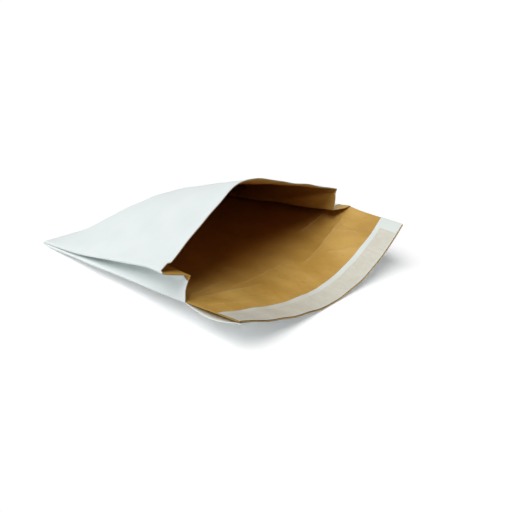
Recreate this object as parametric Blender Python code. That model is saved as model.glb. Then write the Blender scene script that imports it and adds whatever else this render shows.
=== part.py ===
# Gusseted envelope of two paper plies, lying open on its back.
#
# X runs across the envelope, from the near side (-X) to the far side (+X).
# Y runs along it: the sealed end is at +Y, and the mouth and its flap are at -Y.
# Z is up. The origin is under the middle of the whole envelope.
#
# The plies are lofts. A cross-section is walked round once, as the paper runs: along the bottom
# panel, round the far gusset, back along the top panel and round the near gusset. The section
# at each distance from the sealed end is worked out from how far the envelope has opened there,
# and every layer is that walk set inwards by its depth below the envelope's outer face.

from math import atan2, cos, hypot, pi, radians, sin, tan

import bmesh
import bpy
import numpy as np

# Sizes of the envelope when flat, in metres
PANEL_WIDTH = 0.229
TUBE_LENGTH = 0.165
GUSSET_HALF = 0.019
FLAP_LENGTH = 0.056
SEAL_LENGTH = 0.008

# Thickness of each layer, and the air between layers
OUTER_PLY = 0.00035
INNER_PLY = 0.00035
PLY_GAP = 0.0003
FOLD_ROOM = 0.0004
GUSSET_SLIT = 0.0004

# The closure on the flap
LINER_WIDTH = 0.0215
LINER_FROM_END = 0.0012
LINER_THICKNESS = 0.0002
ADHESIVE_WIDTH = 0.016
ADHESIVE_FROM_LINER_EDGE = 0.001
ADHESIVE_FROM_SIDE = 0.006
ADHESIVE_THICKNESS = 0.0002
STRIP_GAP = 0.0002

# How the envelope stands open: slopes and turns of its panels at the mouth, in degrees
BOTTOM_SLOPE_NEAR = 14.2
BOTTOM_SLOPE_FAR = 29.9
FLAP_SLOPE_NEAR = 18.4
FLAP_SLOPE_FAR = 34.0
LOWER_GUSSET_TURN_NEAR = 79.5
UPPER_GUSSET_TURN_NEAR = 14.0
LOWER_GUSSET_TURN_FAR = -3.0
UPPER_GUSSET_TURN_FAR = 83.5

# Places and softness of the bends across a panel, as shares of half its width
BOTTOM_BEND_PLACE = 0.165
BOTTOM_BEND_SOFTNESS = 0.51
RIDGE_PLACE_MOUTH = -0.085
RIDGE_SOFTNESS_MOUTH = 0.155
RIDGE_PLACE_SEALED = -0.45
RIDGE_SOFTNESS_SEALED = 0.40

# How quickly each form rises from the seal
PUFF_RATE = 8.5
NEAR_GUSSET_RATE = 2.0
FAR_GUSSET_RATE = 2.7

# The cut edge at the mouth
NOTCH_WIDTH = 0.012
NOTCH_DEPTH = 0.003
GUSSET_LEAD_NEAR = 0.006
GUSSET_LAG_FAR = 0.0065

# The outer ply sags away from the inner ply along the near edge of the flap
SAG_DEPTH = 0.0055
SAG_WIDTH = 0.030

# Facets
BOTTOM_STEPS = 18
TOP_STEPS = 26
GUSSET_STEPS = 2
TUBE_STATIONS = (0.04, 0.085, 0.14, 0.21, 0.31, 0.43, 0.57, 0.71, 0.84, 0.94, 1.0)
FLAP_STATIONS = (0.15, 0.35, 0.55, 0.78, 1.0)


def depth_below_face(layer):
    """How far the two faces of a layer lie below the envelope's outer face."""
    outer = OUTER_PLY
    inner = outer + PLY_GAP + INNER_PLY
    adhesive = inner + STRIP_GAP + ADHESIVE_THICKNESS
    faces = {
        "outer_ply": (0.0, outer),
        "inner_ply": (outer + PLY_GAP, inner),
        "adhesive_strip": (inner + STRIP_GAP, adhesive),
        "release_liner": (adhesive + STRIP_GAP, adhesive + STRIP_GAP + LINER_THICKNESS),
    }
    return faces[layer]


def heading(angle):
    return np.array([cos(angle), sin(angle)])


def walk(slopes, width):
    """Points of a panel of this width whose slope is given at evenly spaced points."""
    step = width / (len(slopes) - 1)
    mean = (slopes[1:] + slopes[:-1]) / 2
    x = np.concatenate([[0.0], np.cumsum(np.cos(mean) * step)])
    z = np.concatenate([[0.0], np.cumsum(np.sin(mean) * step)])
    return np.stack([x, z], axis=1)


def bottom_slopes(near, far):
    """Slopes across the bottom panel, which is a trough that rises to both sides."""
    across = np.linspace(-1.0, 1.0, BOTTOM_STEPS + 1)
    bend = np.tanh((across - BOTTOM_BEND_PLACE) / BOTTOM_BEND_SOFTNESS)
    return radians(far - near) / 2 + radians(far + near) / 2 * bend


def bottom_curve(near, far, share):
    """The bottom panel with this share of its slopes, resting on the floor at its lowest place."""
    curve = walk(bottom_slopes(near, far) * share, PANEL_WIDTH)
    curve[:, 0] -= curve[BOTTOM_STEPS // 2, 0]
    curve[:, 1] -= curve[:, 1].min()
    return curve


def share_beyond_seal(along):
    """How far a station lies from the seal (0) towards the mouth (1)."""
    return max(0.0, (along - SEAL_LENGTH) / (TUBE_LENGTH - SEAL_LENGTH))


def top_slopes(opened):
    """Slopes across the top panel for a unit rise. It is an arch with a ridge."""
    across = np.linspace(-1.0, 1.0, TOP_STEPS + 1)
    place = RIDGE_PLACE_SEALED + (RIDGE_PLACE_MOUTH - RIDGE_PLACE_SEALED) * opened
    softness = RIDGE_SOFTNESS_SEALED + (RIDGE_SOFTNESS_MOUTH - RIDGE_SOFTNESS_SEALED) * opened
    return -np.tanh((across - place) / softness)


def gusset_chain(start, panel_slope, lower_turn, upper_turn, top_slope, reach):
    """Points of one gusset, walked up from the bottom panel's edge on the +X side.

    Each fold is blunt: the walk turns half way, steps across what lies inside the fold, and
    turns the other half.
    """
    along_lower = pi - lower_turn
    along_upper = upper_turn
    along_top = pi - top_slope
    points = []

    def go(angle, length, pieces):
        for _ in range(pieces):
            points.append((points[-1] if points else start) + heading(angle) * length / pieces)

    def fold(before, after, half_height):
        go((before + after) / 2, 2 * half_height * tan(abs(after - before) / 4), 1)

    fold(panel_slope, along_lower, reach)
    go(along_lower, GUSSET_HALF, GUSSET_STEPS)
    fold(along_lower, along_upper, GUSSET_SLIT / 2)
    go(along_upper, GUSSET_HALF, GUSSET_STEPS)
    fold(along_upper, along_top, reach)
    return np.array(points)


def arch_between(near, far, slopes):
    """The panel with these slopes, turned and fitted between two points."""
    curve = walk(slopes, PANEL_WIDTH)
    span = far - near
    reached = curve[-1]
    size = hypot(*span) / hypot(*reached)
    turn = atan2(span[1], span[0]) - atan2(reached[1], reached[0])
    rotation = np.array([[cos(turn), -sin(turn)], [sin(turn), cos(turn)]])
    return near + size * curve @ rotation.T


def rise_for_span(span):
    """The ridge's steepness at which the mouth's top panel just reaches across the span."""
    low, high = 0.0, 1.2
    for _ in range(40):
        middle = (low + high) / 2
        if hypot(*walk(top_slopes(1.0) * middle, PANEL_WIDTH)[-1]) > span:
            low = middle
        else:
            high = middle
    return (low + high) / 2


def frame_of_section(along, rise):
    """Bottom panel, both gussets and the top panel's slopes at this distance from the end."""
    opened = share_beyond_seal(along)
    bottom = bottom_curve(BOTTOM_SLOPE_NEAR, BOTTOM_SLOPE_FAR, opened)
    slopes = bottom_slopes(BOTTOM_SLOPE_NEAR, BOTTOM_SLOPE_FAR) * opened
    top = top_slopes(opened) * rise * (1.0 - (1.0 - opened) ** PUFF_RATE)
    end_reach = OUTER_PLY + FOLD_ROOM / 2
    full_reach = depth_below_face("inner_ply")[1] + FOLD_ROOM / 2
    reach = end_reach + (full_reach - end_reach) * min(1.0, along / SEAL_LENGTH)
    far_opened = 1.0 - (1.0 - opened) ** FAR_GUSSET_RATE
    far = gusset_chain(
        bottom[-1],
        slopes[-1],
        radians(LOWER_GUSSET_TURN_FAR) * far_opened,
        radians(UPPER_GUSSET_TURN_FAR) * far_opened,
        -top[-1],
        reach,
    )
    near_opened = opened ** NEAR_GUSSET_RATE
    mirror = np.array([-1.0, 1.0])
    near = gusset_chain(
        bottom[0] * mirror,
        -slopes[0],
        radians(LOWER_GUSSET_TURN_NEAR) * near_opened,
        radians(UPPER_GUSSET_TURN_NEAR) * near_opened,
        top[0],
        reach,
    )
    return bottom, far, near * mirror, top


def mouth_rise():
    """Steepness of the ridge at the mouth, where the top panel closes the section."""
    rise = 0.3
    for _ in range(4):
        _, far, near, _ = frame_of_section(TUBE_LENGTH, rise)
        rise = rise_for_span(hypot(*(far[-1] - near[-1])))
    return rise


MOUTH_RISE = mouth_rise()

# Where each stretch of the walk starts, counted in points
FAR_START = BOTTOM_STEPS + 1
CHAIN_POINTS = 2 * GUSSET_STEPS + 3
TOP_START = FAR_START + CHAIN_POINTS - 1
NEAR_START = TOP_START + TOP_STEPS + 1
WALK_POINTS = NEAR_START + CHAIN_POINTS - 1


def section(along):
    """The walk round the envelope's outer face at this distance from the end, as x and z."""
    bottom, far, near, top = frame_of_section(along, MOUTH_RISE)
    arch = arch_between(near[-1], far[-1], top)
    return np.concatenate([bottom, far[:-1], arch[::-1], near[-2::-1]])


def inward(points, closed):
    """For each point, the step that sets the walk inwards by one unit of depth."""
    after = np.roll(points, -1, axis=0) - points
    before = points - np.roll(points, 1, axis=0)
    if not closed:
        after[-1] = before[-1]
        before[0] = after[0]
    normals = []
    for edge in (before, after):
        edge = edge / np.linalg.norm(edge, axis=1)[:, None]
        normals.append(np.stack([-edge[:, 1], edge[:, 0]], axis=1))
    meet = 1.0 + (normals[0] * normals[1]).sum(axis=1)
    return (normals[0] + normals[1]) / meet[:, None]


def reach_of_paper(sealed, opened):
    """Distance from the sealed end at which each strip of paper ends at the mouth."""
    shift = opened - sealed
    return np.sqrt(np.maximum(TUBE_LENGTH ** 2 - (shift ** 2).sum(axis=1), 0.0))


def mouth_reach():
    reach = reach_of_paper(section(0.0), section(TUBE_LENGTH))
    for first, ease in ((NEAR_START, GUSSET_LEAD_NEAR), (FAR_START, -GUSSET_LAG_FAR)):
        for i in range(CHAIN_POINTS - 1):
            from_fold = abs(i - GUSSET_STEPS - 0.5) - 0.5
            reach[first + i] += ease * (1.0 - from_fold / (GUSSET_STEPS + 1.0))
    return reach


MOUTH_REACH = mouth_reach()


def tube_row(along, depth):
    """Points of a layer's face across the tube, at this distance from the sealed end."""
    points = section(along)
    points = points + depth * inward(points, True)
    reach = along + (MOUTH_REACH - TUBE_LENGTH) * share_beyond_seal(along) ** 1.5
    return np.stack([points[:, 0], -reach, points[:, 1]], axis=1)


def flap_row(share, depth):
    """Points of a layer's face across the flap, at this share of the flap's length."""
    near = BOTTOM_SLOPE_NEAR + (FLAP_SLOPE_NEAR - BOTTOM_SLOPE_NEAR) * share
    far = BOTTOM_SLOPE_FAR + (FLAP_SLOPE_FAR - BOTTOM_SLOPE_FAR) * share
    mouth = bottom_curve(BOTTOM_SLOPE_NEAR, BOTTOM_SLOPE_FAR, 1.0)
    points = bottom_curve(near, far, 1.0)
    shift = points - mouth
    onward = np.sqrt(np.maximum((FLAP_LENGTH * share) ** 2 - (shift ** 2).sum(axis=1), 0.0))
    points = points + depth * inward(points, False)
    along = MOUTH_REACH[: BOTTOM_STEPS + 1] + onward
    return np.stack([points[:, 0], -along, points[:, 1]], axis=1)


def sag(share):
    """How far the outer ply hangs below the inner ply across one row of the flap."""
    across = np.linspace(0.0, PANEL_WIDTH, BOTTOM_STEPS + 1)
    edge = np.maximum(0.0, 1.0 - across / SAG_WIDTH)
    return SAG_DEPTH * edge ** 1.5 * sin(pi * share ** 0.8)


def trim_mouth(last, previous):
    """The outer ply's cut edge: set back in a notch by the near corner and at the near fold."""
    spacing = np.linalg.norm(last - previous, axis=1)
    cut = np.zeros(WALK_POINTS)
    from_corner = (NEAR_START - 1 - np.arange(WALK_POINTS)) * PANEL_WIDTH / TOP_STEPS
    panel = (np.arange(WALK_POINTS) >= TOP_START) & (from_corner >= 0)
    cut[panel & (from_corner < NOTCH_WIDTH)] = NOTCH_DEPTH
    return last + (previous - last) * (cut / spacing)[:, None]


def ply(name):
    """One ply: a tube shut at its sealed end, with the flap going on from its bottom panel."""
    outside, inside = depth_below_face(name)
    free = [SEAL_LENGTH + (TUBE_LENGTH - SEAL_LENGTH) * share for share in TUBE_STATIONS]
    if name == "outer_ply":
        starts = ([0.0, SEAL_LENGTH], [SEAL_LENGTH])
    else:
        starts = ([SEAL_LENGTH + PLY_GAP], [SEAL_LENGTH + PLY_GAP + INNER_PLY])
    tube = [
        [tube_row(along, depth) for along in start + free]
        for depth, start in zip((outside, inside), starts)
    ]
    flap = [[flap_row(v, depth) for v in FLAP_STATIONS] for depth in (outside, inside)]
    if name == "outer_ply":
        for rows in tube:
            rows[-1] = trim_mouth(rows[-1], rows[-2])
        for rows in flap:
            for row, share in zip(rows, FLAP_STATIONS):
                row[:, 2] -= sag(share)
    mesh = bmesh.new()
    tube = [[[mesh.verts.new(p) for p in row] for row in rows] for rows in tube]
    flap = [[[mesh.verts.new(p) for p in row] for row in rows] for rows in flap]
    for rows in tube:
        mesh.faces.new(rows[0])
        for low, high in zip(rows[:-1], rows[1:]):
            for i in range(WALK_POINTS):
                j = (i + 1) % WALK_POINTS
                mesh.faces.new((low[i], low[j], high[j], high[i]))
    hinge = [rows[-1][: BOTTOM_STEPS + 1] for rows in tube]
    sheets = [[hinge[k]] + flap[k] for k in (0, 1)]
    for rows in sheets:
        for low, high in zip(rows[:-1], rows[1:]):
            for i in range(BOTTOM_STEPS):
                mesh.faces.new((low[i], low[i + 1], high[i + 1], high[i]))
    mouth = [rows[-1][BOTTOM_STEPS:] + rows[-1][:1] for rows in tube]
    rim = [
        mouth[k]
        + [row[0] for row in sheets[k][1:]]
        + sheets[k][-1][1:]
        + [row[-1] for row in reversed(sheets[k][1:-1])]
        for k in (0, 1)
    ]
    count = len(rim[0])
    for i in range(count):
        j = (i + 1) % count
        mesh.faces.new((rim[0][i], rim[0][j], rim[1][j], rim[1][i]))
    return finish(name, mesh)


def strip(name, width, from_end, from_side):
    """A strip laid on the flap: its rows run between two shares of the flap's length."""
    below, above = depth_below_face(name)
    first = 1.0 - (from_end + width) / FLAP_LENGTH
    last = 1.0 - from_end / FLAP_LENGTH
    shares = [first, (first + last) / 2, last]
    mesh = bmesh.new()
    faces = []
    for depth in (below, above):
        rows = []
        for share in shares:
            row = flap_row(share, depth)
            for end, beside in ((0, 1), (-1, -2)):
                edge = row[beside] - row[end]
                row[end] += edge * from_side / np.linalg.norm(edge)
            rows.append([mesh.verts.new(p) for p in row])
        faces.append(rows)
        for low, high in zip(rows[:-1], rows[1:]):
            for i in range(BOTTOM_STEPS):
                mesh.faces.new((low[i], low[i + 1], high[i + 1], high[i]))
    rims = [
        rows[0] + [rows[1][-1]] + rows[2][::-1] + [rows[1][0]]
        for rows in faces
    ]
    count = len(rims[0])
    for i in range(count):
        j = (i + 1) % count
        mesh.faces.new((rims[0][i], rims[0][j], rims[1][j], rims[1][i]))
    return finish(name, mesh)


def finish(name, mesh):
    """Turn a built mesh into an object with its faces pointing out."""
    bmesh.ops.triangulate(mesh, faces=mesh.faces[:], quad_method="FIXED", ngon_method="EAR_CLIP")
    bmesh.ops.recalc_face_normals(mesh, faces=mesh.faces[:])
    data = bpy.data.meshes.new(name)
    mesh.to_mesh(data)
    mesh.free()
    made = bpy.data.objects.new(name, data)
    bpy.context.collection.objects.link(made)
    return made


def paint(made, colour, roughness):
    """Give an object a plain Principled material of its own."""
    material = bpy.data.materials.new(made.name)
    material.use_nodes = True
    shader = material.node_tree.nodes["Principled BSDF"]
    shader.inputs["Base Color"].default_value = colour
    shader.inputs["Roughness"].default_value = roughness
    shader.inputs["Metallic"].default_value = 0.0
    made.data.materials.append(material)


def centre_on_origin(objects):
    """Put the origin under the middle of the whole envelope."""
    corners = np.array([v.co[:] for made in objects for v in made.data.vertices])
    low, high = corners.min(axis=0), corners.max(axis=0)
    shift = np.array([(low[0] + high[0]) / 2, (low[1] + high[1]) / 2, low[2]])
    for made in objects:
        for vertex in made.data.vertices:
            vertex.co = np.array(vertex.co[:]) - shift
        made.data.update()
        made.data.shade_smooth()
        made.data.set_sharp_from_angle(angle=radians(35.0))


for old in list(bpy.data.objects):
    bpy.data.objects.remove(old)

outer_ply = ply("outer_ply")
paint(outer_ply, (0.86, 0.88, 0.87, 1.0), 0.55)

inner_ply = ply("inner_ply")
paint(inner_ply, (0.52, 0.33, 0.13, 1.0), 0.6)

adhesive_strip = strip(
    "adhesive_strip",
    ADHESIVE_WIDTH,
    LINER_FROM_END + ADHESIVE_FROM_LINER_EDGE,
    ADHESIVE_FROM_SIDE,
)
paint(adhesive_strip, (0.62, 0.58, 0.42, 1.0), 0.35)

release_liner = strip("release_liner", LINER_WIDTH, LINER_FROM_END, 0.0)
paint(release_liner, (0.80, 0.82, 0.79, 1.0), 0.4)

centre_on_origin([outer_ply, inner_ply, adhesive_strip, release_liner])
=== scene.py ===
# Gusseted envelope of two paper plies, lying open on its back on a pale floor.
#
# Metres, +Z up. X runs across the envelope from its near side to its far side, the sealed end
# is at +Y, and the mouth and its flap are at -Y.

from math import atan2, cos, hypot, pi, radians, sin, tan

import bpy
import numpy as np
from mathutils import Euler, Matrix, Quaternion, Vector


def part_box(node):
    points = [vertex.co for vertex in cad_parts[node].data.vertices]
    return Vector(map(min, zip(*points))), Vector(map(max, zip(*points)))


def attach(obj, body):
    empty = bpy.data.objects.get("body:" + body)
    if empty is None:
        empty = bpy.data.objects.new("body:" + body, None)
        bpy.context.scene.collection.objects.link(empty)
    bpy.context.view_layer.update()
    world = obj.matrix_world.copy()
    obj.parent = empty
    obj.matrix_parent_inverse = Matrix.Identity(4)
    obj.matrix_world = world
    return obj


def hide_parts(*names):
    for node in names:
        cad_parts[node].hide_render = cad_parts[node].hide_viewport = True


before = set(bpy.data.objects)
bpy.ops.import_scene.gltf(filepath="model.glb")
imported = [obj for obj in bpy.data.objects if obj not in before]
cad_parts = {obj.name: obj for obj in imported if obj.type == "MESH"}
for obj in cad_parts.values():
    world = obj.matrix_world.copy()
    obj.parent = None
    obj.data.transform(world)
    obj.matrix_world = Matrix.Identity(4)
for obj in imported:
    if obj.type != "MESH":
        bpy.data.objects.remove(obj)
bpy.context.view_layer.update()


# Outer ply. One sheet of smooth bleached paper, folded into a tube with a gusset down each side,
# glued flat at one end, with its bottom panel running on past the mouth as the flap. Its cut
# edge has a step by the top panel's near corner, and is set back at both gussets.

PANEL_WIDTH = 0.229
TUBE_LENGTH = 0.165
GUSSET_HALF = 0.019
FLAP_LENGTH = 0.056
SEAL_LENGTH = 0.008

PLY = 0.00035
PLY_GAP = 0.0003
FOLD_ROOM = 0.0004
GUSSET_SLIT = 0.0004
INNER_PLY_DEPTH = PLY + PLY_GAP
FULL_REACH = INNER_PLY_DEPTH + PLY + FOLD_ROOM / 2
END_REACH = PLY + FOLD_ROOM / 2

# Degrees: the slopes of the near and far edges of the bottom panel at the mouth and of the flap
# at its end, and how far the lower and upper half of each gusset turn as the mouth opens
BOTTOM_SLOPES = (14.2, 29.9)
FLAP_SLOPES = (18.4, 34.0)
NEAR_GUSSET_TURNS = (79.5, 14.0)
FAR_GUSSET_TURNS = (-3.0, 83.5)

# Places across a panel run from -1 to 1, and the ridge moves from the seal's value to the mouth's
BOTTOM_BEND_PLACE = 0.165
BOTTOM_BEND_SOFTNESS = 0.51
RIDGE_PLACES = (-0.45, -0.085)
RIDGE_SOFTNESSES = (0.40, 0.155)

# How soon past the seal the top panel and the gussets open
PUFF_RATE = 8.5
NEAR_GUSSET_RATE = 2.0
FAR_GUSSET_RATE = 2.7

# How far the cut edge runs out or falls back where the gussets' middle folds reach it
GUSSET_LEAD_NEAR = 0.0075
GUSSET_LAG_FAR = 0.0065
GUSSET_LEAD_SPREAD = 1.05 * GUSSET_HALF

BOTTOM_STEPS = 100
TOP_STEPS = 120
GUSSET_STEPS = 10
FOLD_STEPS = 5
TUBE_ROWS = 84
FLAP_ROWS = 30
TUBE_ROW_SPACING = 1.3
SMOOTH_BELOW = radians(40.0)


def panel_curve(slopes, width):
    """Points across a panel whose slope is given at evenly spaced points."""
    step = width / (len(slopes) - 1)
    mean = (slopes[1:] + slopes[:-1]) / 2
    x = np.concatenate([[0.0], np.cumsum(np.cos(mean) * step)])
    z = np.concatenate([[0.0], np.cumsum(np.sin(mean) * step)])
    return np.stack([x, z], axis=1)


def bottom_slopes(near, far):
    across = np.linspace(-1.0, 1.0, BOTTOM_STEPS + 1)
    bend = np.tanh((across - BOTTOM_BEND_PLACE) / BOTTOM_BEND_SOFTNESS)
    return radians(far - near) / 2 + radians(far + near) / 2 * bend


def bottom_curve(near, far, share):
    """The bottom panel as a trough, resting on the floor at its lowest place."""
    curve = panel_curve(bottom_slopes(near, far) * share, PANEL_WIDTH)
    curve[:, 0] -= curve[BOTTOM_STEPS // 2, 0]
    curve[:, 1] -= curve[:, 1].min()
    return curve


def top_slopes(opened):
    """The top panel's slopes for a unit rise: an arch with a ridge."""
    across = np.linspace(-1.0, 1.0, TOP_STEPS + 1)
    place = RIDGE_PLACES[0] + (RIDGE_PLACES[1] - RIDGE_PLACES[0]) * opened
    softness = RIDGE_SOFTNESSES[0] + (RIDGE_SOFTNESSES[1] - RIDGE_SOFTNESSES[0]) * opened
    return -np.tanh((across - place) / softness)


def gusset(start, panel_slope, turns, top_slope, reach):
    """One gusset, walked up from the bottom panel's edge, with each fold rolled round."""
    along_lower = pi - turns[0]
    along_upper = turns[1]
    points = [start]

    def run(angle, length, pieces):
        step = np.array([cos(angle), sin(angle)]) * length / pieces
        for _ in range(pieces):
            points.append(points[-1] + step)

    def fold(before, after, half_height):
        turn = (after - before) / (FOLD_STEPS + 1)
        for k in range(1, FOLD_STEPS + 1):
            run(before + turn * k, 2 * half_height * tan(abs(turn) / 2), 1)

    fold(panel_slope, along_lower, reach)
    run(along_lower, GUSSET_HALF, GUSSET_STEPS)
    fold(along_lower, along_upper, GUSSET_SLIT / 2)
    run(along_upper, GUSSET_HALF, GUSSET_STEPS)
    fold(along_upper, pi - top_slope, reach)
    return np.array(points[1:])


def panels_at(along, rise):
    """Bottom panel, both gussets and the top panel's slopes at this distance from the end."""
    opened = max(0.0, (along - SEAL_LENGTH) / (TUBE_LENGTH - SEAL_LENGTH))
    bottom = bottom_curve(*BOTTOM_SLOPES, opened)
    slopes = bottom_slopes(*BOTTOM_SLOPES) * opened
    top = top_slopes(opened) * rise * (1.0 - (1.0 - opened) ** PUFF_RATE)
    reach = END_REACH + (FULL_REACH - END_REACH) * min(1.0, along / SEAL_LENGTH)
    far_turns = np.radians(FAR_GUSSET_TURNS) * (1.0 - (1.0 - opened) ** FAR_GUSSET_RATE)
    near_turns = np.radians(NEAR_GUSSET_TURNS) * opened ** NEAR_GUSSET_RATE
    mirror = np.array([-1.0, 1.0])
    far = gusset(bottom[-1], slopes[-1], far_turns, -top[-1], reach)
    near = gusset(bottom[0] * mirror, -slopes[0], near_turns, top[0], reach)
    return bottom, far, near * mirror, top


FIRST_RISE = 0.3
MOST_RISE = 1.2
RISE_ROUNDS = 4
RISE_HALVINGS = 40


def steepness_at_mouth():
    """How steep the top panel's arch is, so that its width just spans the two gussets."""
    rise = FIRST_RISE
    for _ in range(RISE_ROUNDS):
        _, far, near, _ = panels_at(TUBE_LENGTH, rise)
        span = hypot(*(far[-1] - near[-1]))
        low, high = 0.0, MOST_RISE
        for _ in range(RISE_HALVINGS):
            rise = (low + high) / 2
            if hypot(*panel_curve(top_slopes(1.0) * rise, PANEL_WIDTH)[-1]) > span:
                low = rise
            else:
                high = rise
    return rise


MOUTH_RISE = steepness_at_mouth()
GUSSET_POINTS = 2 * GUSSET_STEPS + 3 * FOLD_STEPS
FAR_START = BOTTOM_STEPS + 1
TOP_START = FAR_START + GUSSET_POINTS - 1
NEAR_START = TOP_START + TOP_STEPS + 1
WALK_POINTS = NEAR_START + GUSSET_POINTS - 1
MIDDLE_FOLD = FOLD_STEPS + GUSSET_STEPS + FOLD_STEPS // 2 - 1


def section(along):
    """The walk round the envelope: bottom, far gusset, top panel back, near gusset down."""
    bottom, far, near, slopes = panels_at(along, MOUTH_RISE)
    arch = panel_curve(slopes, PANEL_WIDTH)
    span, reached = far[-1] - near[-1], arch[-1]
    turn = atan2(span[1], span[0]) - atan2(reached[1], reached[0])
    rotation = np.array([[cos(turn), -sin(turn)], [sin(turn), cos(turn)]])
    arch = near[-1] + hypot(*span) / hypot(*reached) * arch @ rotation.T
    return np.concatenate([bottom, far[:-1], arch[::-1], near[-2::-1]])


def inward(points, closed):
    """For each point, the step that sets the walk inwards by one unit of depth."""
    after = np.roll(points, -1, axis=0) - points
    before = points - np.roll(points, 1, axis=0)
    if not closed:
        after[-1] = before[-1]
        before[0] = after[0]
    normals = []
    for edge in (before, after):
        edge = edge / np.linalg.norm(edge, axis=1)[:, None]
        normals.append(np.stack([-edge[:, 1], edge[:, 0]], axis=1))
    meet = 1.0 + (normals[0] * normals[1]).sum(axis=1)
    return (normals[0] + normals[1]) / meet[:, None]


mouth = section(TUBE_LENGTH)
edges = np.linalg.norm(np.roll(mouth, -1, axis=0) - mouth, axis=1)
ACROSS = np.concatenate([[0.0], np.cumsum(edges)])
FAR_FOLD = ACROSS[FAR_START + MIDDLE_FOLD]
NEAR_FOLD = ACROSS[NEAR_START + GUSSET_POINTS - 2 - MIDDLE_FOLD]
NEAR_CORNER = ACROSS[NEAR_START - 1]

# Where each strip of paper ends at the mouth, measured from the sealed end
shift = mouth - section(0.0)
MOUTH_REACH = np.sqrt(TUBE_LENGTH ** 2 - (shift ** 2).sum(axis=1))
for fold, ease in ((NEAR_FOLD, GUSSET_LEAD_NEAR), (FAR_FOLD, -GUSSET_LAG_FAR)):
    share = 1.0 - np.abs(ACROSS[:-1] - fold) / GUSSET_LEAD_SPREAD
    MOUTH_REACH += ease * np.maximum(0.0, share)

# The cut edge runs a little further out beside the near corners of both panels
NEAR_BOTTOM_LEAD = 0.0045
NEAR_BOTTOM_SPREAD = 0.022
NEAR_GUSSET_SPREAD = 0.007
NEAR_TOP_LEAD = 0.0022
NEAR_TOP_SPREAD = 0.018
up_gusset = (ACROSS[-1] - ACROSS[:-1]) / NEAR_GUSSET_SPREAD
beside_fold = np.minimum(ACROSS[:-1] / NEAR_BOTTOM_SPREAD, up_gusset)
MOUTH_REACH += NEAR_BOTTOM_LEAD * np.exp(-beside_fold ** 2)
MOUTH_REACH += NEAR_TOP_LEAD * np.exp(-((ACROSS[:-1] - NEAR_CORNER) / NEAR_TOP_SPREAD) ** 2)


def crease(across, along, start, end, width, height):
    """A narrow ridge across the flat paper from start to end, fading out at both."""
    run = np.array(end) - np.array(start)
    length = hypot(*run)
    beyond = ((across - start[0]) * run[0] + (along - start[1]) * run[1]) / length ** 2
    aside = ((across - start[0]) * run[1] - (along - start[1]) * run[0]) / length
    fade = np.clip(1.0 - np.abs(2.0 * beyond - 1.0) ** 3, 0.0, 1.0)
    return height * fade * np.exp(-np.abs(aside / width) ** 1.4)


# Creases that handling has left: start and end on the flat paper (across, along), width, height
BOTTOM_CREASES = (
    ((0.140, 0.169), (0.222, 0.163), 0.0022, 0.0016),
    ((0.180, 0.136), (0.222, 0.143), 0.0026, 0.0013),
    ((0.203, 0.176), (0.219, 0.140), 0.0028, -0.0012),
    ((0.168, 0.172), (0.190, 0.200), 0.0030, 0.0010),
    ((0.196, 0.162), (0.206, 0.190), 0.0030, 0.0009),
    ((0.004, 0.164), (0.100, 0.166), 0.0024, 0.0012),
    ((0.004, 0.160), (0.070, 0.146), 0.0028, 0.0010),
    ((0.006, 0.169), (0.090, 0.178), 0.0026, -0.0009),
    ((0.010, 0.178), (0.060, 0.188), 0.0028, 0.0009),
    ((0.060, 0.158), (0.140, 0.152), 0.0034, 0.0008),
)
FAR_GUSSET_CREASE_START = (FAR_FOLD + GUSSET_HALF, TUBE_LENGTH + 0.012)
FAR_GUSSET_CREASE_END = (FAR_FOLD - 0.002, 0.078)
FAR_GUSSET_CREASE_WIDTH = 0.0048
FAR_GUSSET_CREASE_HEIGHT = 0.0036
FAR_GUSSET_CREASE_FADE = 0.004
GUSSET_CREASE_START = (NEAR_FOLD + 0.001, TUBE_LENGTH)
GUSSET_CREASE_ENDS = (
    (NEAR_FOLD + GUSSET_HALF, 0.134),
    (NEAR_FOLD + GUSSET_HALF - 0.004, 0.092),
    (NEAR_FOLD + 0.005, 0.104),
)
GUSSET_CREASE_WIDTH = 0.0022
GUSSET_CREASE_HEIGHT = 0.0010

# The paper's slow waves: start of the turn, length of the wave, lean towards the mouth
WAVES = ((0.0, 0.047, 0.3), (1.7, 0.031, -0.5), (4.1, 0.069, 1.1))
WAVE_HEIGHT = 0.00022
FLAT_PAST_SEAL = 0.03
CALM_BESIDE_FOLD = 0.006
LEAST_AT_FOLD = 0.15


def ripple(across, along):
    """How far the paper, both plies together, stands off its plain form at a place."""
    found = np.zeros(np.broadcast(across, along).shape)
    on_bottom = across < PANEL_WIDTH
    for start, end, width, height in BOTTOM_CREASES:
        found += np.where(on_bottom, crease(across, along, start, end, width, height), 0.0)
    size = (GUSSET_CREASE_WIDTH, GUSSET_CREASE_HEIGHT)
    for end in GUSSET_CREASE_ENDS:
        found -= crease(across, along, GUSSET_CREASE_START, end, *size)
    ends = (FAR_GUSSET_CREASE_START, FAR_GUSSET_CREASE_END)
    size = (FAR_GUSSET_CREASE_WIDTH, FAR_GUSSET_CREASE_HEIGHT)
    from_edge = np.minimum(across - FAR_FOLD, FAR_FOLD + GUSSET_HALF - across)
    on_gusset = np.clip(from_edge / FAR_GUSSET_CREASE_FADE, 0.0, 1.0)
    found += crease(across, along, *ends, *size) * on_gusset
    for turn, length, lean in WAVES:
        found += WAVE_HEIGHT * np.sin(turn + 2 * pi * (across + lean * along) / length)
    settled = np.clip((along - SEAL_LENGTH) / FLAT_PAST_SEAL, 0.0, 1.0)
    panel_edge = np.minimum(np.abs(across - PANEL_WIDTH), np.abs(across))
    panel_edge = np.minimum(panel_edge, np.abs(across - NEAR_CORNER))
    return found * settled * np.clip(panel_edge / CALM_BESIDE_FOLD, LEAST_AT_FOLD, 1.0)


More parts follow.
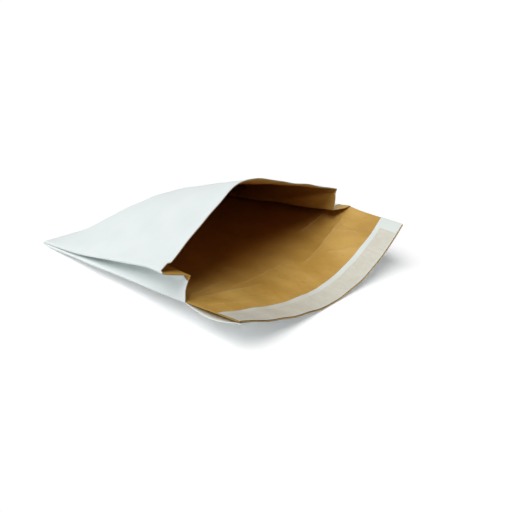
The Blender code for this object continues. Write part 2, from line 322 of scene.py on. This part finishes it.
CURL_LIFT = 0.0013
CURL_WIDTH = 0.0040
CURL_LENGTH = 0.011
CURL_ACROSS = PANEL_WIDTH + 0.001
CURL_ALONG = TUBE_LENGTH - 0.004


def curl(across, along):
    """The far fold of the bottom panel rolls up a little at the mouth."""
    beside = np.exp(-((across - CURL_ACROSS) / CURL_WIDTH) ** 2)
    return CURL_LIFT * beside * np.exp(-((along - CURL_ALONG) / CURL_LENGTH) ** 2)


REACH_EASE = 1.5
CUT_EASE_LENGTH = 0.045


def tube_grid(depth, first, cut=None):
    """Rows of points round the tube at this depth, from first to the mouth's cut edge."""
    seal = [first, SEAL_LENGTH / 2, SEAL_LENGTH] if first < SEAL_LENGTH else [first]
    shares = np.linspace(0.0, 1.0, TUBE_ROWS + 1)[1:] ** TUBE_ROW_SPACING
    free = [SEAL_LENGTH + (TUBE_LENGTH - SEAL_LENGTH) * share for share in shares]
    along = np.array(seal + [a for a in free if a > seal[-1] + PLY])
    rows = []
    for a in along:
        points = section(a)
        lift = depth + ripple(ACROSS[:-1], a)
        points = points + lift[:, None] * inward(points, True)
        beyond = max(0.0, (a - SEAL_LENGTH) / (TUBE_LENGTH - SEAL_LENGTH))
        reach = a + (MOUTH_REACH - TUBE_LENGTH) * beyond ** REACH_EASE
        rows.append(np.stack([points[:, 0], -reach, points[:, 1]], axis=1))
    rows = np.array(rows)
    flat = np.broadcast_to(along[:, None], rows.shape[:2]).copy()
    if cut is not None:
        ease = np.clip(1.0 - (TUBE_LENGTH - along) / CUT_EASE_LENGTH, 0.0, 1.0)
        flat = along[:, None] - cut[None, :] * ease[:, None]
        plain = rows.copy()
        for i in np.nonzero(cut > 0.0)[0]:
            for axis in range(3):
                rows[:, i, axis] = np.interp(flat[:, i], along, plain[:, i, axis])
    rows[:, :, 2] = np.maximum(rows[:, :, 2] + curl(ACROSS[:-1], flat), depth)
    return rows, np.stack([np.broadcast_to(ACROSS[:-1], flat.shape), flat], axis=2)


NEAR_EDGE_SLANT = 0.0070
NEAR_EDGE_SLANT_WIDTH = 0.022


def flap_row(share, depth):
    """Points across the flap at this depth and this share of its length."""
    near = BOTTOM_SLOPES[0] + (FLAP_SLOPES[0] - BOTTOM_SLOPES[0]) * share
    far = BOTTOM_SLOPES[1] + (FLAP_SLOPES[1] - BOTTOM_SLOPES[1]) * share
    points = bottom_curve(near, far, 1.0)
    shift = points - bottom_curve(*BOTTOM_SLOPES, 1.0)
    onward = np.sqrt(np.maximum((FLAP_LENGTH * share) ** 2 - (shift ** 2).sum(axis=1), 0.0))
    beside = np.exp(-(ACROSS[:FAR_START] / NEAR_EDGE_SLANT_WIDTH) ** 2)
    onward -= NEAR_EDGE_SLANT * share * beside
    along = TUBE_LENGTH + FLAP_LENGTH * share
    lift = depth + ripple(ACROSS[:FAR_START], along)
    points = points + lift[:, None] * inward(points, False)
    height = np.maximum(points[:, 1] + curl(ACROSS[:FAR_START], along), depth)
    return np.stack([points[:, 0], -MOUTH_REACH[:FAR_START] - onward, height], axis=1)


class Sheet:
    """A closed paper shape: its points, its faces and their places on the flat paper."""

    def __init__(self):
        self.corners = []
        self.faces = []
        self.flat = []

    def points(self, grid):
        start = len(self.corners)
        self.corners.extend(grid.reshape(-1, 3).tolist())
        return start + np.arange(grid.shape[0] * grid.shape[1]).reshape(grid.shape[:2])

    def face(self, ids, places, turned):
        order = -1 if turned else 1
        self.faces.append(tuple(int(i) for i in ids)[::order])
        self.flat.extend([tuple(place) for place in places][::order])

    def cover(self, ids, places, turned=False):
        """Faces over a grid of points, whose rows run across the paper."""
        for k in range(ids.shape[0] - 1):
            for i in range(ids.shape[1] - 1):
                around = ((k, i), (k, i + 1), (k + 1, i + 1), (k + 1, i))
                self.face([ids[c] for c in around], [places[c] for c in around], turned)

    def rim(self, outside, inside, path):
        """The cut edge between the two faces, along a closed path over their grid."""
        loop = list(path) + [path[0]]
        ids = np.array([[side[0][c] for c in loop] for side in (outside, inside)])
        self.cover(ids, np.array([[side[1][c] for c in loop] for side in (outside, inside)]))

    def made(self, name):
        data = bpy.data.meshes.new(name)
        corners = np.array(self.corners)
        corners[:, :2] += PLACE
        data.from_pydata(corners.tolist(), [], self.faces)
        layer = data.uv_layers.new(name="paper")
        layer.data.foreach_set("uv", np.array(self.flat, dtype=np.float32).ravel())
        sheet = bpy.data.objects.new(name, data)
        bpy.context.scene.collection.objects.link(sheet)
        bpy.ops.object.select_all(action="DESELECT")
        bpy.context.view_layer.objects.active = sheet
        sheet.select_set(True)
        bpy.ops.object.shade_smooth_by_angle(angle=SMOOTH_BELOW)
        sheet.select_set(False)
        return sheet


def ply(name, depth, firsts, cut=None, droop=None):
    """One ply: the tube shut at its sealed end, and the flap going on from its bottom panel."""
    sheet = Sheet()
    shares = np.linspace(0.0, 1.0, FLAP_ROWS + 1)[1:]
    sides = []
    for first, face_depth, turned in zip(firsts, (depth, depth + PLY), (False, True)):
        tube, places = tube_grid(face_depth, first, cut)
        flap = np.array([flap_row(share, face_depth) for share in shares])
        if droop is not None:
            flap = droop(flap, shares)
        ids = sheet.points(tube)
        sheet.face(ids[0][::-1], places[0][::-1], turned)
        seam = places[:, :1] + [ACROSS[-1], 0.0]
        sheet.cover(np.hstack([ids, ids[:, :1]]), np.hstack([places, seam]), turned)
        along = TUBE_LENGTH + FLAP_LENGTH * np.concatenate([[0.0], shares])
        flap_places = np.stack(np.meshgrid(ACROSS[:FAR_START], along), axis=2)
        flap_ids = np.vstack([ids[-1:, :FAR_START], sheet.points(flap)])
        sheet.cover(flap_ids, flap_places, turned)
        edge = [(ids[-1][i], places[-1][i]) for i in range(FAR_START, WALK_POINTS)]
        last = FLAP_ROWS
        path = [(k, 0) for k in range(last)] + [(last, i) for i in range(BOTTOM_STEPS)]
        path += [(k, BOTTOM_STEPS) for k in range(last, -1, -1)]
        edge += [(flap_ids[c], flap_places[c]) for c in path]
        sides.append(([i for i, _ in edge], [place for _, place in edge]))
    sheet.rim(sides[0], sides[1], range(len(edge)))
    return sheet.made(name)


# The sealed end and the far side come from the solid ply
low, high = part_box("outer_ply")
widest = max(section(a)[:, 0].max() for a in np.linspace(0.0, TUBE_LENGTH, 24))
PLACE = np.array([high.x - widest, high.y])

NOTCH_WIDTH = 0.0085
NOTCH_DEPTH = 0.003
NOTCH_PAST_CORNER = 0.0005

# The white ply is set back at the near gusset's middle fold and over the far one's lower half
CUT_BACK = 0.009
CUT_BACK_WIDTH = 0.0030
CUT_BACK_STEEPNESS = 1.4
FAR_CUT_BACK = 0.013
FAR_CUT_BACK_MIDDLE = PANEL_WIDTH + GUSSET_HALF / 2 + 0.002
FAR_CUT_BACK_WIDTH = GUSSET_HALF / 2 + 0.002
FAR_CUT_BACK_STEEPNESS = 6.0

SAG_DEPTH = 0.0050
SAG_WIDTH = 0.030
SAG_SPREAD = 1.5
SAG_LEAN = 0.95
TIP_START = 0.95
TIP_WIDTH = 0.006
TIP_REACH = np.array([-0.0002, -0.0010, -0.0003])

beside_corner = NEAR_CORNER - ACROSS[:-1]
in_notch = (beside_corner >= -NOTCH_PAST_CORNER) & (beside_corner < NOTCH_WIDTH)
notch = np.where(in_notch, NOTCH_DEPTH, 0.0)
near_share = 1.0 - np.abs(ACROSS[:-1] - NEAR_FOLD) / CUT_BACK_WIDTH
cut_back = CUT_BACK * np.clip(CUT_BACK_STEEPNESS * near_share, 0.0, 1.0)
far_share = 1.0 - np.abs(ACROSS[:-1] - FAR_CUT_BACK_MIDDLE) / FAR_CUT_BACK_WIDTH
cut_back += FAR_CUT_BACK * np.clip(FAR_CUT_BACK_STEEPNESS * far_share, 0.0, 1.0)


def sag(flap, shares):
    """The white ply hangs below the kraft ply along the flap's near edge, and its tip juts out."""
    edge = np.maximum(0.0, 1.0 - ACROSS[:FAR_START] / SAG_WIDTH)
    shares = shares[:, None]
    flap[:, :, 2] -= SAG_DEPTH * edge ** SAG_SPREAD * np.sin(pi * shares ** SAG_LEAN)
    at_end = np.clip((shares - TIP_START) / (1.0 - TIP_START), 0.0, 1.0)
    tip = np.exp(-(ACROSS[:FAR_START] / TIP_WIDTH) ** 2) * at_end
    flap += tip[:, :, None] * TIP_REACH
    return flap


outer_ply = ply("white_outer_ply", 0.0, (0.0, SEAL_LENGTH), cut=notch + cut_back, droop=sag)


class Link:
    """A socket of the finish being mixed; sums and products on it become Math nodes."""

    def __init__(self, finish, socket):
        self.finish = finish
        self.socket = socket

    def __add__(self, other):
        return self.finish.maths("ADD", self, other)

    def __mul__(self, other):
        return self.finish.maths("MULTIPLY", self, other)

    def __sub__(self, other):
        return self.finish.maths("SUBTRACT", self, other)

    def __rsub__(self, other):
        return self.finish.maths("SUBTRACT", other, self)

    __radd__ = __add__
    __rmul__ = __mul__


class Finish:
    """A paper finish: a Principled shader, and the nodes that vary it over the sheet."""

    def __init__(self, name, roughness, specular):
        self.material = bpy.data.materials.new(name)
        self.material.use_nodes = True
        self.tree = self.material.node_tree
        self.shader = self.tree.nodes["Principled BSDF"]
        self.shader.inputs["Roughness"].default_value = roughness
        self.shader.inputs["Specular IOR Level"].default_value = specular

    def feed(self, socket, value):
        if isinstance(value, Link):
            self.tree.links.new(value.socket, socket)
        else:
            socket.default_value = value

    def node(self, kind, settings=None, inputs=None, output=0):
        made = self.tree.nodes.new(kind)
        for name, value in (settings or {}).items():
            setattr(made, name, value)
        for name, value in (inputs or {}).items():
            self.feed(made.inputs[name], value)
        return Link(self, made.outputs[output])

    def maths(self, operation, first, second):
        return self.node("ShaderNodeMath", {"operation": operation}, {0: first, 1: second})

    def paper_place(self, across, along):
        """The flat paper's coordinates, stretched for a grain that runs one way."""
        flat = self.node("ShaderNodeUVMap", {"uv_map": "paper"})
        scale = (across, along, 1.0)
        return self.node("ShaderNodeVectorMath", {"operation": "MULTIPLY"}, {0: flat, 1: scale})

    def noise(self, place, scale, detail, roughness=0.5):
        inputs = {"Vector": place, "Scale": scale, "Detail": detail, "Roughness": roughness}
        return self.node("ShaderNodeTexNoise", None, inputs)

    def waver(self, scale, detail, reach):
        """A slow wander from -reach to reach."""
        return self.noise(self.paper_place(1.0, 1.0), scale, detail) * (2 * reach) - reach

    def flat_place(self):
        """The flat paper's two coordinates, across it and along it."""
        flat = self.node("ShaderNodeUVMap", {"uv_map": "paper"})
        return [self.node("ShaderNodeSeparateXYZ", None, {0: flat}, axis) for axis in (0, 1)]

    def between(self, value, low, high):
        """0 below low, 1 above high and a soft step between."""
        inputs = {"Value": value, "From Min": low, "From Max": high}
        return self.node("ShaderNodeMapRange", {"interpolation_type": "SMOOTHSTEP"}, inputs)

    def inside(self, value, low, high, fade):
        """1 from low to high, with a soft step at each."""
        risen = self.between(value, low - fade, low + fade)
        return risen * (1 - self.between(value, high - fade, high + fade))

    def line(self, start, end, width, waver):
        """1 along a narrow line on the flat paper from start to end, and 0 away from it."""
        run = np.array(end) - np.array(start)
        length = hypot(*run)
        flat = self.node("ShaderNodeUVMap", {"uv_map": "paper"})
        corner = (start[0], start[1], 0.0)
        place = self.node("ShaderNodeVectorMath", {"operation": "SUBTRACT"}, {0: flat, 1: corner})
        dot = {"operation": "DOT_PRODUCT"}
        onward = (run[0] / length ** 2, run[1] / length ** 2, 0.0)
        aslant = (run[1] / length, -run[0] / length, 0.0)
        beyond = self.node("ShaderNodeVectorMath", dot, {0: place, 1: onward}, 1)
        aside = self.node("ShaderNodeVectorMath", dot, {0: place, 1: aslant}, 1) + waver
        away = self.maths("ABSOLUTE", aside, 0.0)
        past = self.maths("ABSOLUTE", beyond - 0.5, 0.0)
        return self.between(away, width, 0.0) * self.between(past, 0.5, 0.3)

    def tint(self, factor, first, second):
        inputs = {0: factor, 6: first, 7: second}
        return self.node("ShaderNodeMix", {"data_type": "RGBA"}, inputs, 2)

    def bump(self, height, strength, distance):
        inputs = {"Height": height, "Strength": strength, "Distance": distance}
        self.feed(self.shader.inputs["Normal"], self.node("ShaderNodeBump", None, inputs))

    def colour(self, value):
        self.feed(self.shader.inputs["Base Color"], value)

    def on(self, made):
        made.data.materials.clear()
        made.data.materials.append(self.material)
        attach(made, "root")


WHITE = (0.835, 0.895, 0.888, 1.0)
WHITE_SHADED = (0.812, 0.874, 0.870, 1.0)
FOLD_LINE_WIDTH = 0.0010
FOLD_LINE_BUMP = 3.0

white = Finish("white_paper", 0.58, 0.35)
cloud = white.noise(white.paper_place(1.0, 1.0), 38.0, 3.0)
white.colour(white.tint(white.between(cloud, 0.3, 0.7), WHITE_SHADED, WHITE))
felt = white.noise(white.paper_place(1.0, 0.7), 950.0, 4.0, 0.65)
waver = white.waver(60.0, 2.0, 0.0015)
fold_lines = 0.0
for end in GUSSET_CREASE_ENDS:
    fold_lines = white.line(GUSSET_CREASE_START, end, FOLD_LINE_WIDTH, waver) + fold_lines
white.bump(felt + cloud * 2.0 - fold_lines * FOLD_LINE_BUMP, 0.25, 0.00014)
white.on(outer_ply)
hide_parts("outer_ply")


# Kraft lining. One sheet of unbleached, lightly glazed kraft paper, folded with the outer ply and
# glued to it at the seal and along the flap's end. It is seen all through the mouth and over
# the flap, and shows long fibres along the envelope and the creases of handling. Its colour
# also holds painted shade, darker and redder deeper inside the tube, and a painted highlight
# along the ridges of the creases.

KRAFT_LIGHT = (0.605, 0.375, 0.098, 1.0)
KRAFT_DARK = (0.470, 0.268, 0.052, 1.0)
KRAFT_FLECK = (0.310, 0.165, 0.035, 1.0)
# Painted shade: the lining is tinted darker and redder deeper inside the tube, where the
# envelope's own shade falls
KRAFT_PAINTED_SHADE = (0.400, 0.158, 0.022, 1.0)
PAINTED_SHADE_SHARE = 0.85
PAINTED_SHADE_FROM = 0.172
PAINTED_SHADE_FULL = 0.112
# Painted highlight: a lighter tone laid along the ridges of the raised creases
KRAFT_PAINTED_HIGHLIGHT = (0.720, 0.500, 0.190, 1.0)
PAINTED_HIGHLIGHT_SHARE = 0.22
FLECK_SHARE = 0.55
CREASE_WIDTH = 0.0011
CREASE_BUMP = 3.2

lining_start = SEAL_LENGTH + PLY_GAP
inner_ply = ply("kraft_lining", INNER_PLY_DEPTH, (lining_start, lining_start + PLY), cut=notch)
kraft = Finish("kraft_paper", 0.5, 0.3)
mottle = kraft.noise(kraft.paper_place(1.0, 0.55), 26.0, 5.0, 0.6)
fibre = kraft.noise(kraft.paper_place(1.0, 0.16), 620.0, 4.0, 0.7)
fleck = kraft.noise(kraft.paper_place(1.0, 0.35), 410.0, 2.0, 0.5)
blend = kraft.between(mottle * 0.85 + fibre * 0.15, 0.34, 0.66)
ground = kraft.tint(blend, KRAFT_DARK, KRAFT_LIGHT)
ground = kraft.tint(kraft.between(fleck, 0.66, 0.80) * FLECK_SHARE, ground, KRAFT_FLECK)
_, along = kraft.flat_place()
# Painted shade: the kraft is mixed towards a dark red-brown from near the mouth to deep inside the
# tube
inside = kraft.between(along, PAINTED_SHADE_FROM, PAINTED_SHADE_FULL)
ground = kraft.tint(inside * PAINTED_SHADE_SHARE, ground, KRAFT_PAINTED_SHADE)
waver = kraft.waver(90.0, 3.0, 0.003)
ridges = 0.0
valleys = 0.0
for start, end, _, height in BOTTOM_CREASES:
    line = kraft.line(start, end, CREASE_WIDTH, waver)
    if height > 0.0:
        ridges = line + ridges
    else:
        valleys = line + valleys
# Painted highlight along the ridges of the creases
kraft.colour(kraft.tint(ridges * PAINTED_HIGHLIGHT_SHARE, ground, KRAFT_PAINTED_HIGHLIGHT))
kraft.feed(kraft.shader.inputs["Roughness"], mottle * 0.2 + 0.38)
cockle = kraft.noise(kraft.paper_place(1.0, 0.8), 70.0, 3.0)
kraft.bump(fibre * 0.6 + cockle * 5.0 + (ridges - valleys) * CREASE_BUMP, 0.5, 0.0002)
kraft.on(inner_ply)
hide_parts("inner_ply")


# Adhesive strip. A band of hot-melt glue on the kraft side of the flap, wholly covered by the
# release liner and seen only at its edges.

LINER_WIDTH = 0.0215
LINER_FROM_END = 0.0006
ADHESIVE_WIDTH = 0.016
ADHESIVE_FROM_LINER_EDGE = 0.001
ADHESIVE_FROM_SIDE = 0.006
FILM = 0.0002
STRIP_GAP = 0.0002
ADHESIVE_DEPTH = INNER_PLY_DEPTH + PLY + STRIP_GAP
LINER_DEPTH = ADHESIVE_DEPTH + FILM + STRIP_GAP
STRIP_ROWS = 10
GLUE = (0.62, 0.58, 0.42, 1.0)


def strip(name, depth, width, from_end, from_side):
    """A strip laid over the flap at this depth, FILM thick."""
    shares = 1.0 - (from_end + width * np.linspace(1.0, 0.0, STRIP_ROWS + 1)) / FLAP_LENGTH
    across = np.unique(np.clip(ACROSS[:FAR_START], from_side, PANEL_WIDTH - from_side))
    places = np.stack(np.meshgrid(across, TUBE_LENGTH + FLAP_LENGTH * shares), axis=2)
    sheet = Sheet()
    sides = []
    for face_depth, turned in ((depth, False), (depth + FILM, True)):
        rows = [flap_row(share, face_depth) for share in shares]
        grid = [[np.interp(across, ACROSS[:FAR_START], one) for one in row.T] for row in rows]
        ids = sheet.points(np.transpose(np.array(grid), (0, 2, 1)))
        sheet.cover(ids, places, turned)
        right, last = len(across) - 1, STRIP_ROWS
        path = [(last, i) for i in range(right)] + [(k, right) for k in range(last, 0, -1)]
        path += [(0, i) for i in range(right, 0, -1)] + [(k, 0) for k in range(last)]
        sides.append(([ids[c] for c in path], [places[c] for c in path]))
    sheet.rim(sides[0], sides[1], range(len(path)))
    return sheet.made(name)


adhesive_strip = strip(
    "adhesive_band",
    ADHESIVE_DEPTH,
    ADHESIVE_WIDTH,
    LINER_FROM_END + ADHESIVE_FROM_LINER_EDGE,
    ADHESIVE_FROM_SIDE,
)
glue = Finish("adhesive", 0.32, 0.5)
glue.colour(GLUE)
glue.on(adhesive_strip)
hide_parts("adhesive_strip")


# Release liner. A strip of thin silicone-coated paper over the adhesive, peeled off before the
# flap is closed. Where the glue lies under it, it looks a little darker and mottled.

LINER_CLEAR = (0.740, 0.800, 0.765, 1.0)
LINER_CLEAR_NEAR = (0.700, 0.700, 0.630, 1.0)
LINER_OVER_GLUE = (0.625, 0.600, 0.500, 1.0)
LINER_MOTTLE = (0.690, 0.670, 0.575, 1.0)
BAND_FAR_END = PANEL_WIDTH - 0.012
BAND_NEAR_END = -0.003
BAND_FADE = 0.0007
BAND_SHARE = 0.9

release_liner = strip("liner_strip", LINER_DEPTH, LINER_WIDTH, LINER_FROM_END, 0.0)
liner = Finish("release_liner", 0.42, 0.45)
across, along = liner.flat_place()
waver = liner.waver(120.0, 3.0, 0.0008)
outer_side = TUBE_LENGTH + FLAP_LENGTH - LINER_FROM_END - ADHESIVE_FROM_LINER_EDGE
inner_side = outer_side - ADHESIVE_WIDTH
band = liner.inside(along + waver, inner_side, outer_side, BAND_FADE)
band = band * liner.inside(across + waver, BAND_NEAR_END, BAND_FAR_END, BAND_FADE)
speckle = liner.noise(liner.paper_place(1.0, 0.5), 330.0, 5.0, 0.7)
over_glue = liner.tint(liner.between(speckle, 0.35, 0.65), LINER_OVER_GLUE, LINER_MOTTLE)
clear = liner.tint(liner.between(across, 0.06, 0.19), LINER_CLEAR_NEAR, LINER_CLEAR)
liner.colour(liner.tint(band * BAND_SHARE, clear, over_glue))
liner.bump(speckle * (band * 0.8 + 0.2), 0.25, 0.0002)
liner.on(release_liner)
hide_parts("release_liner")


# Floor. A wide pale studio floor that the envelope lies on. The camera sees it as white, as it
# sees the world, while the floor lights the envelope no more than a plain floor does.

FLOOR_SIZE = 14.0
FLOOR_DROP = 0.0002
FLOOR_COLOUR = (0.98, 0.98, 0.98, 1.0)
FLOOR_LIFT = (0.20, 0.20, 0.20, 1.0)
NO_LIFT = (0.0, 0.0, 0.0, 1.0)


def seen_directly(tree):
    """1 for what the camera sees itself, mirrored or through glass, and 0 for other light."""
    rays = tree.nodes.new("ShaderNodeLightPath")
    seen = rays.outputs["Is Camera Ray"]
    for ray in ("Is Glossy Ray", "Is Transmission Ray"):
        either = tree.nodes.new("ShaderNodeMath")
        either.operation = "MAXIMUM"
        tree.links.new(seen, either.inputs[0])
        tree.links.new(rays.outputs[ray], either.inputs[1])
        seen = either.outputs[0]
    return seen


bpy.ops.object.select_all(action="DESELECT")
bpy.ops.mesh.primitive_plane_add(size=FLOOR_SIZE, location=(0.0, 0.0, -FLOOR_DROP))
floor = bpy.context.active_object
floor.name = "floor"
floor_finish = Finish("floor", 0.9, 0.1)
floor_finish.colour(FLOOR_COLOUR)
seen = Link(floor_finish, seen_directly(floor_finish.tree))
lift = floor_finish.tint(seen, NO_LIFT, FLOOR_LIFT)
floor_finish.feed(floor_finish.shader.inputs["Emission Color"], lift)
floor_finish.shader.inputs["Emission Strength"].default_value = 1.0
floor.data.materials.append(floor_finish.material)


# Light and camera. A large soft source overhead that leans to the near side, with a weak even
# fill from all round, and a camera off the near corner of the mouth.

KEY_STRENGTH = 2.75
KEY_SOFTNESS = radians(50.0)
KEY_TILT = (radians(-3.0), radians(-29.0), 0.0)
FILL = 0.07
PURE_WHITE = (1.0, 1.0, 1.0, 1.0)

key_data = bpy.data.lights.new("key", "SUN")
key_data.energy = KEY_STRENGTH
key_data.angle = KEY_SOFTNESS
key = bpy.data.objects.new("key", key_data)
key.rotation_euler = KEY_TILT
bpy.context.scene.collection.objects.link(key)

world = bpy.data.worlds.new("studio")
world.use_nodes = True
bpy.context.scene.world = world
tree = world.node_tree
background = tree.nodes["Background"]
background.inputs["Color"].default_value = PURE_WHITE
strength = tree.nodes.new("ShaderNodeMapRange")
tree.links.new(seen_directly(tree), strength.inputs["Value"])
strength.inputs["To Min"].default_value = FILL
strength.inputs["To Max"].default_value = 1.0
tree.links.new(strength.outputs["Result"], background.inputs["Strength"])

CAMERA_TARGET = np.array([-0.0325, -0.0580, 0.0332])
CAMERA_DISTANCE = 0.5
CAMERA_AZIMUTH = radians(-52.76)
CAMERA_ELEVATION = radians(25.93)
CAMERA_ROLL = radians(6.94)
CAMERA_LENS = 45.7

back = np.array([
    sin(CAMERA_AZIMUTH) * cos(CAMERA_ELEVATION),
    -cos(CAMERA_AZIMUTH) * cos(CAMERA_ELEVATION),
    sin(CAMERA_ELEVATION),
])
camera_data = bpy.data.cameras.new("camera")
camera_data.lens = CAMERA_LENS
camera = bpy.data.objects.new("camera", camera_data)
camera.location = CAMERA_TARGET + CAMERA_DISTANCE * back
level = Euler((pi / 2 - CAMERA_ELEVATION, 0.0, CAMERA_AZIMUTH)).to_quaternion()
camera.rotation_euler = (level @ Quaternion((0.0, 0.0, 1.0), CAMERA_ROLL)).to_euler()
bpy.context.scene.collection.objects.link(camera)
bpy.context.scene.camera = camera
bpy.context.scene.view_settings.view_transform = "Standard"
